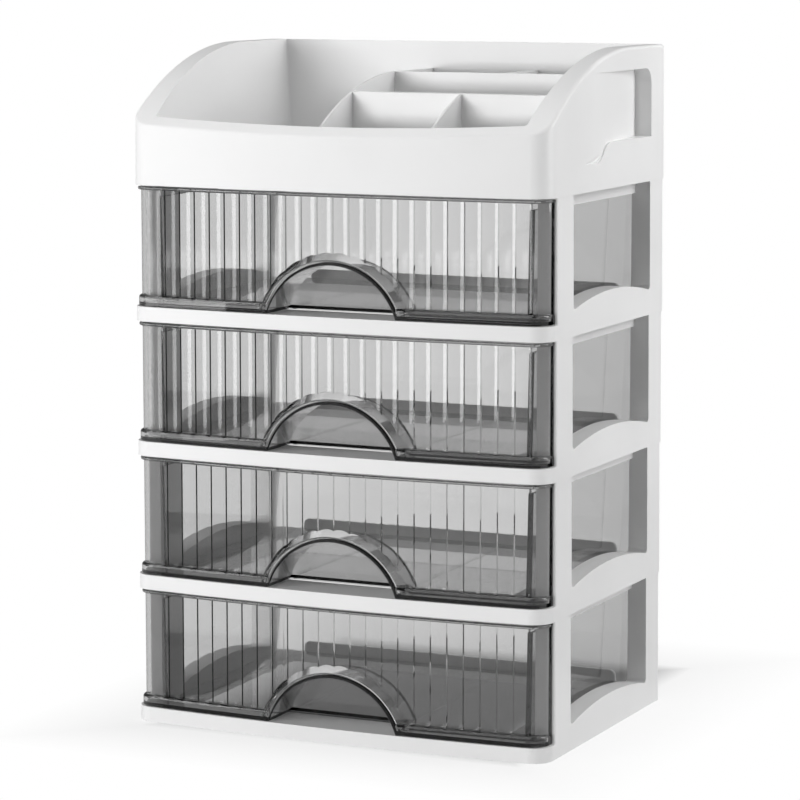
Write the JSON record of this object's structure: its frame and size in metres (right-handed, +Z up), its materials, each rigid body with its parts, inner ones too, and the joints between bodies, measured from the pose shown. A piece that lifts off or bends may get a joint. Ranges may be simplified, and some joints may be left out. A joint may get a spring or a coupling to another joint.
{
  "type": "drawer organizer",
  "caption": "Tabletop cosmetics organizer: stacked white tiers with smoke-clear fluted slide-out drawers under an open divided tray.",
  "frame": {"origin": "under the middle of the base, on the surface it stands on", "axes": "+Z up, -Y out of the drawer fronts, +X to the right as seen from the front"},
  "size_m": [0.25, 0.1782, 0.377],
  "materials": {
    "white_plastic": "satin white moulded plastic",
    "smoke_plastic": "polished smoke-tinted clear plastic"
  },
  "bodies": {
    "frame": {"tier_frame_1": "white_plastic", "tier_frame_2": "white_plastic", "tier_frame_3": "white_plastic", "tier_frame_4": "white_plastic", "top_tray": "white_plastic"},
    "drawer_1_body": {"drawer_1": "smoke_plastic"},
    "drawer_2_body": {"drawer_2": "smoke_plastic"},
    "drawer_3_body": {"drawer_3": "smoke_plastic"},
    "drawer_4_body": {"drawer_4": "smoke_plastic"}
  },
  "joints": [
    {"name": "drawer_1_slide", "type": "slide", "parent": "frame", "child": "drawer_1_body", "axis": [0, -1, 0], "range_m": [0, 0.12]},
    {"name": "drawer_2_slide", "type": "slide", "parent": "frame", "child": "drawer_2_body", "axis": [0, -1, 0], "range_m": [0, 0.12]},
    {"name": "drawer_3_slide", "type": "slide", "parent": "frame", "child": "drawer_3_body", "axis": [0, -1, 0], "range_m": [0, 0.12]},
    {"name": "drawer_4_slide", "type": "slide", "parent": "frame", "child": "drawer_4_body", "axis": [0, -1, 0], "range_m": [0, 0.12]}
  ]
}
